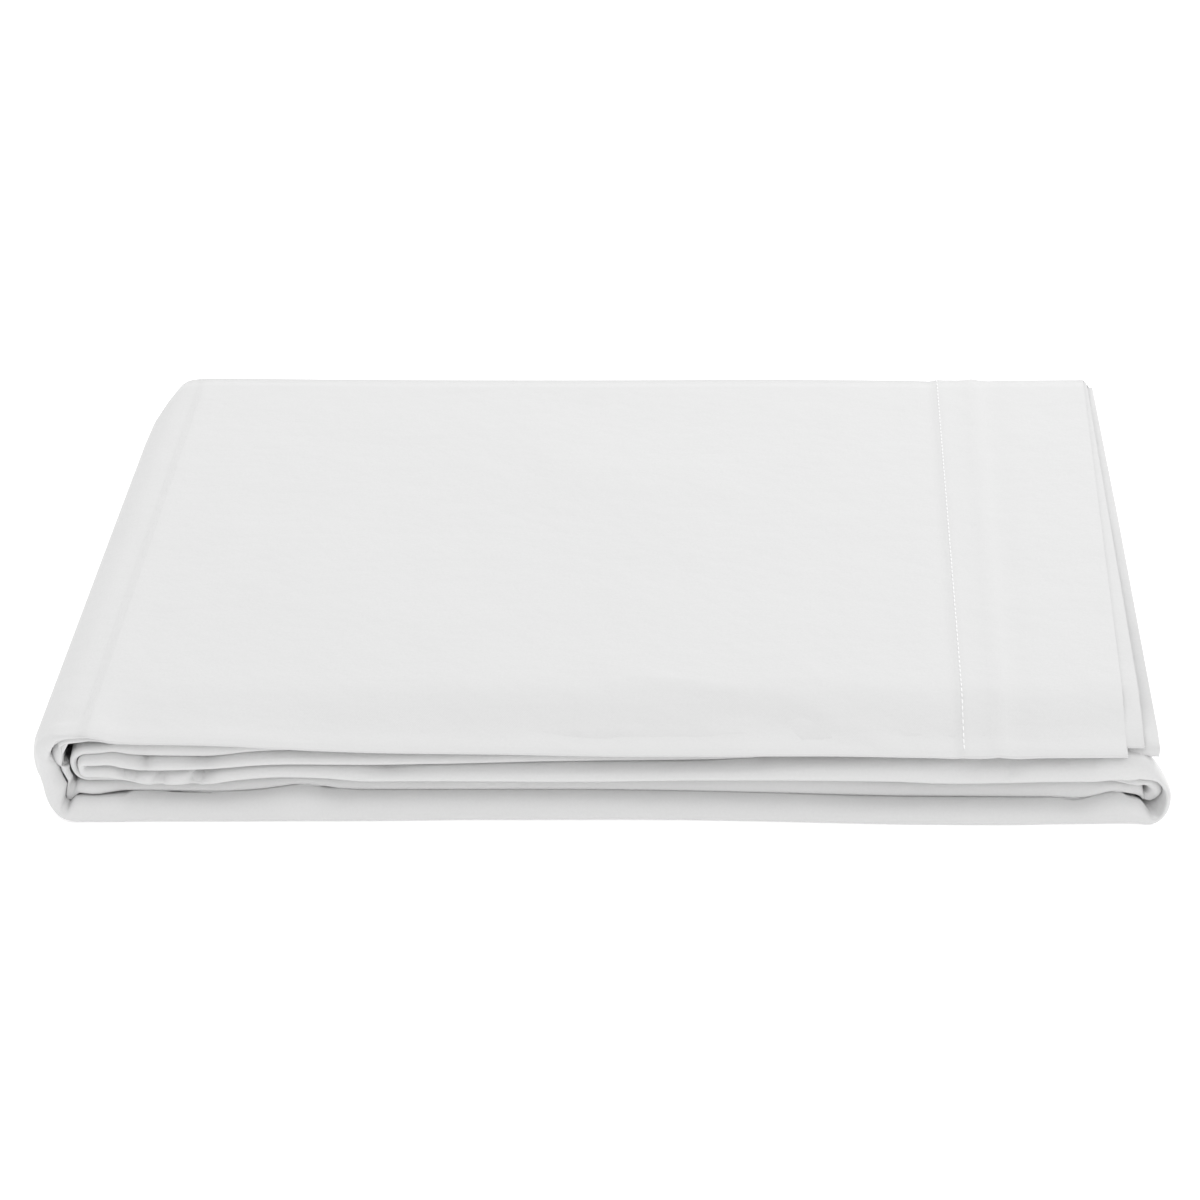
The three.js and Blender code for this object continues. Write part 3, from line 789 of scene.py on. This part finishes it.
# The first two noises lie on the flat cloth's millimetres, the others on the object's metres
NOISE = {
    "uneven threads": {"Scale": 1.1, "Detail": 2.0, "Roughness": 0.5},
    "fuzz": {"Scale": 6.0, "Detail": 2.0, "Roughness": 0.5},
    "soft waves": {"Scale": 28.0, "Detail": 3.0, "Roughness": 0.55},
    "handling marks": {"Scale": 120.0, "Detail": 3.0, "Roughness": 0.6},
}
BUMP = {
    "handled": {"Strength": 1.0, "Distance": 0.0011},
    "woven": {"Strength": 0.35, "Distance": 0.00006},
}
COTTON_FINISH = {
    "Roughness": 0.92, "Specular IOR Level": 0.25, "Sheen Weight": 0.12, "Sheen Roughness": 0.5,
}
THREAD_FINISH = {"Base Color": (0.84, 0.84, 0.84, 1), "Roughness": 0.7}


def set_inputs(node, settings):
    for name, value in settings.items():
        node.inputs[name].default_value = value


def plain_material(name, finish):
    material = bpy.data.materials.new(name)
    material.use_nodes = True
    set_inputs(material.node_tree.nodes["Principled BSDF"], finish)
    return material


def add_node(tree, kind, **settings):
    node = tree.nodes.new(kind)
    for key, value in settings.items():
        setattr(node, key, value)
    return node


def math_node(tree, operation, a, b=0.0):
    node = add_node(tree, "ShaderNodeMath", operation=operation)
    for socket, value in zip(node.inputs, (a, b)):
        if isinstance(value, (int, float)):
            socket.default_value = value
        else:
            tree.links.new(value, socket)
    return node.outputs[0]


def noise_node(tree, place, kind):
    node = add_node(tree, "ShaderNodeTexNoise")
    tree.links.new(place, node.inputs["Vector"])
    set_inputs(node, NOISE[kind])
    return node.outputs[0]


def bump_node(tree, height, kind, normal=None):
    node = add_node(tree, "ShaderNodeBump")
    set_inputs(node, BUMP[kind])
    tree.links.new(height, node.inputs["Height"])
    if normal is not None:
        tree.links.new(normal, node.inputs["Normal"])
    return node.outputs[0]


def cotton(name):
    """Matt cotton in plain weave, with uneven threads, soft handling marks and faint fuzz."""
    material = plain_material(name, COTTON_FINISH)
    tree = material.node_tree
    shader = tree.nodes["Principled BSDF"]

    def scaled(value, factor):
        return math_node(tree, "MULTIPLY", value, factor)

    def added(a, b):
        return math_node(tree, "ADD", a, b)

    flat = add_node(tree, "ShaderNodeUVMap", uv_map="flat_mm").outputs[0]
    place = add_node(tree, "ShaderNodeTexCoord").outputs["Object"]
    parts = add_node(tree, "ShaderNodeSeparateXYZ")
    tree.links.new(flat, parts.inputs[0])
    warp = math_node(tree, "SINE", scaled(parts.outputs[0], math.pi / THREAD))
    weft = math_node(tree, "SINE", scaled(parts.outputs[1], math.pi / THREAD))
    crossing = scaled(warp, weft)
    uneven = noise_node(tree, flat, "uneven threads")
    fuzz = noise_node(tree, flat, "fuzz")
    woven = added(scaled(crossing, WEAVE_HEIGHT), scaled(fuzz, FUZZ_HEIGHT))
    waves = noise_node(tree, place, "soft waves")
    marks = noise_node(tree, place, "handling marks")
    normal = bump_node(tree, added(waves, scaled(marks, MARKS_HEIGHT)), "handled")
    normal = bump_node(tree, added(woven, uneven), "woven", normal)
    tree.links.new(normal, shader.inputs["Normal"])
    shade = add_node(tree, "ShaderNodeMapRange")
    set_inputs(shade, {
        "From Min": SHADE_FROM[0], "From Max": SHADE_FROM[1],
        "To Min": GREY * SHADE_TO[0], "To Max": GREY * SHADE_TO[1],
    })
    tree.links.new(uneven, shade.inputs["Value"])
    color = add_node(tree, "ShaderNodeCombineColor")
    for socket in color.inputs[:3]:
        tree.links.new(shade.outputs[0], socket)
    tree.links.new(color.outputs[0], shader.inputs["Base Color"])
    return material


sheet.data.materials.append(cotton("white_cotton"))


# ---- The stitches that hold the hem ----

STITCH_LENGTH = 2.3
STITCH_PITCH = 3.0
STITCH_WIDE = 0.5
STITCH_HIGH = 0.3
STITCH_AROUND = 6
STITCH_ALONG = 5
STITCH_END_FULL = 0.04          # square of a stitch's fullness at its ends
STITCH_AHEAD = 0.5              # how far ahead its direction is read
SEAM_END = 1                    # rest of the seam without a stitch


def seam_line():
    """The hem's seam on the outer face of leaf 1."""
    row, st = next((i, st) for i, st in enumerate(first_ply)
                   if st["place"] == "flap" and abs(st["x"] - HEM_LINE) < HEM_MARGIN)
    points = section(st)
    outermost = (points[:, 2] == 1) & (points[:, 3] == 1)
    return outer_face(grid, thickness)[row][outermost]


def stitching(name):
    """Raised stitches along the seam, each a closed rounded bar."""
    line = seam_line()
    way = np.concatenate([[0], np.cumsum(np.linalg.norm(np.diff(line, axis=0), axis=1))])

    def line_point(at):
        return np.array([np.interp(at, way, line[:, k]) for k in range(3)])

    points, faces = [], []
    at = STITCH_LENGTH / 2
    while at < way[-1] - SEAM_END:
        centre = line_point(at)
        ahead = line_point(at + STITCH_AHEAD) - centre
        ahead /= np.linalg.norm(ahead)
        side = np.cross(ahead, (0, 0, 1))
        side /= np.linalg.norm(side)
        rise = np.cross(side, ahead)
        first = len(points)
        for i in range(STITCH_ALONG + 1):
            t = i / STITCH_ALONG * 2 - 1
            full = math.sqrt(max(STITCH_END_FULL, 1 - t * t * t * t))
            for j in range(STITCH_AROUND):
                angle = 2 * math.pi * j / STITCH_AROUND
                points.append(centre + ahead * t * STITCH_LENGTH / 2
                              + side * math.cos(angle) * STITCH_WIDE / 2 * full
                              + rise * math.sin(angle) * STITCH_HIGH / 2 * full)
        for i in range(STITCH_ALONG):
            ring = first + i * STITCH_AROUND
            for j in range(STITCH_AROUND):
                a, b = ring + j, ring + (j + 1) % STITCH_AROUND
                faces.append((a, b, b + STITCH_AROUND, a + STITCH_AROUND))
        last = first + STITCH_ALONG * STITCH_AROUND
        faces.append([first + j for j in reversed(range(STITCH_AROUND))])
        faces.append([last + j for j in range(STITCH_AROUND)])
        at += STITCH_PITCH
    mesh = bpy.data.meshes.new(name)
    mesh.from_pydata([tuple(p * MM) for p in points], [], faces)
    mesh.shade_smooth()
    return linked(name, mesh)


stitches = stitching("hem_stitching")
stitches.data.materials.append(plain_material("white_thread", THREAD_FINISH))
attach(stitches, "root")

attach(sheet, "root")
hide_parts("folded_sheet")

# ---- Floor, light and camera, in metres apart from the camera's aim ----

FLOOR_SIZE = 6
FLOOR_FINISH = {
    "Base Color": (0.9, 0.9, 0.9, 1), "Roughness": 1.0, "Specular IOR Level": 0.0,
    "Emission Color": (1, 1, 1, 1), "Emission Strength": 0.3,
}
WORLD_COLOR = (1, 1, 1, 1)
WORLD_STRENGTH = 1.07
LIGHT = {"place": (1.2, 1.6, 1.2), "aim": (0, 0, 0), "size": 0.9, "power": 17}
ELEVATION = math.radians(27.5)
YAW = math.radians(2.83)
ROLL = math.radians(-1.42)
DISTANCE = 1190 * MM
AIM = (-3.2, -13.0, 14.0)
TARGET = Vector([(aim + shift) * MM for aim, shift in zip(AIM, SHIFT)])
LENS = 105
SENSOR = 36
CLIP = (0.05, 20)

bpy.ops.mesh.primitive_plane_add(size=FLOOR_SIZE)
floor = bpy.context.object
floor.name = "floor"
floor.data.materials.append(plain_material("floor", FLOOR_FINISH))

world = bpy.data.worlds.new("studio")
bpy.context.scene.world = world
world.use_nodes = True
background = world.node_tree.nodes["Background"]
set_inputs(background, {"Color": WORLD_COLOR, "Strength": WORLD_STRENGTH})


def area_light(name, place, aim, size, power):
    light = bpy.data.lights.new(name, "AREA")
    light.shape = "DISK"
    light.size = size
    light.energy = power
    lamp = linked(name, light)
    lamp.location = place
    lamp.rotation_euler = (Vector(aim) - Vector(place)).to_track_quat("-Z", "Y").to_euler()


def add_camera():
    """The camera that the photo was taken with, as far as it could be fitted."""
    forward = Vector((
        -math.sin(YAW) * math.cos(ELEVATION), math.cos(YAW) * math.cos(ELEVATION),
        -math.sin(ELEVATION),
    ))
    level = Vector((math.cos(YAW), math.sin(YAW), 0))
    upright = level.cross(forward)
    right = level * math.cos(ROLL) + upright * math.sin(ROLL)
    up = upright * math.cos(ROLL) - level * math.sin(ROLL)
    data = bpy.data.cameras.new("camera")
    data.lens = LENS
    data.sensor_width = SENSOR
    data.clip_start, data.clip_end = CLIP
    camera = linked("camera", data)
    place = TARGET - forward * DISTANCE
    camera.matrix_world = Matrix((
        (right.x, up.x, -forward.x, place.x),
        (right.y, up.y, -forward.y, place.y),
        (right.z, up.z, -forward.z, place.z),
        (0, 0, 0, 1),
    ))
    bpy.context.scene.camera = camera


area_light("main", **LIGHT)
add_camera()
bpy.context.scene.view_settings.view_transform = "Standard"

bpy.context.view_layer.update()
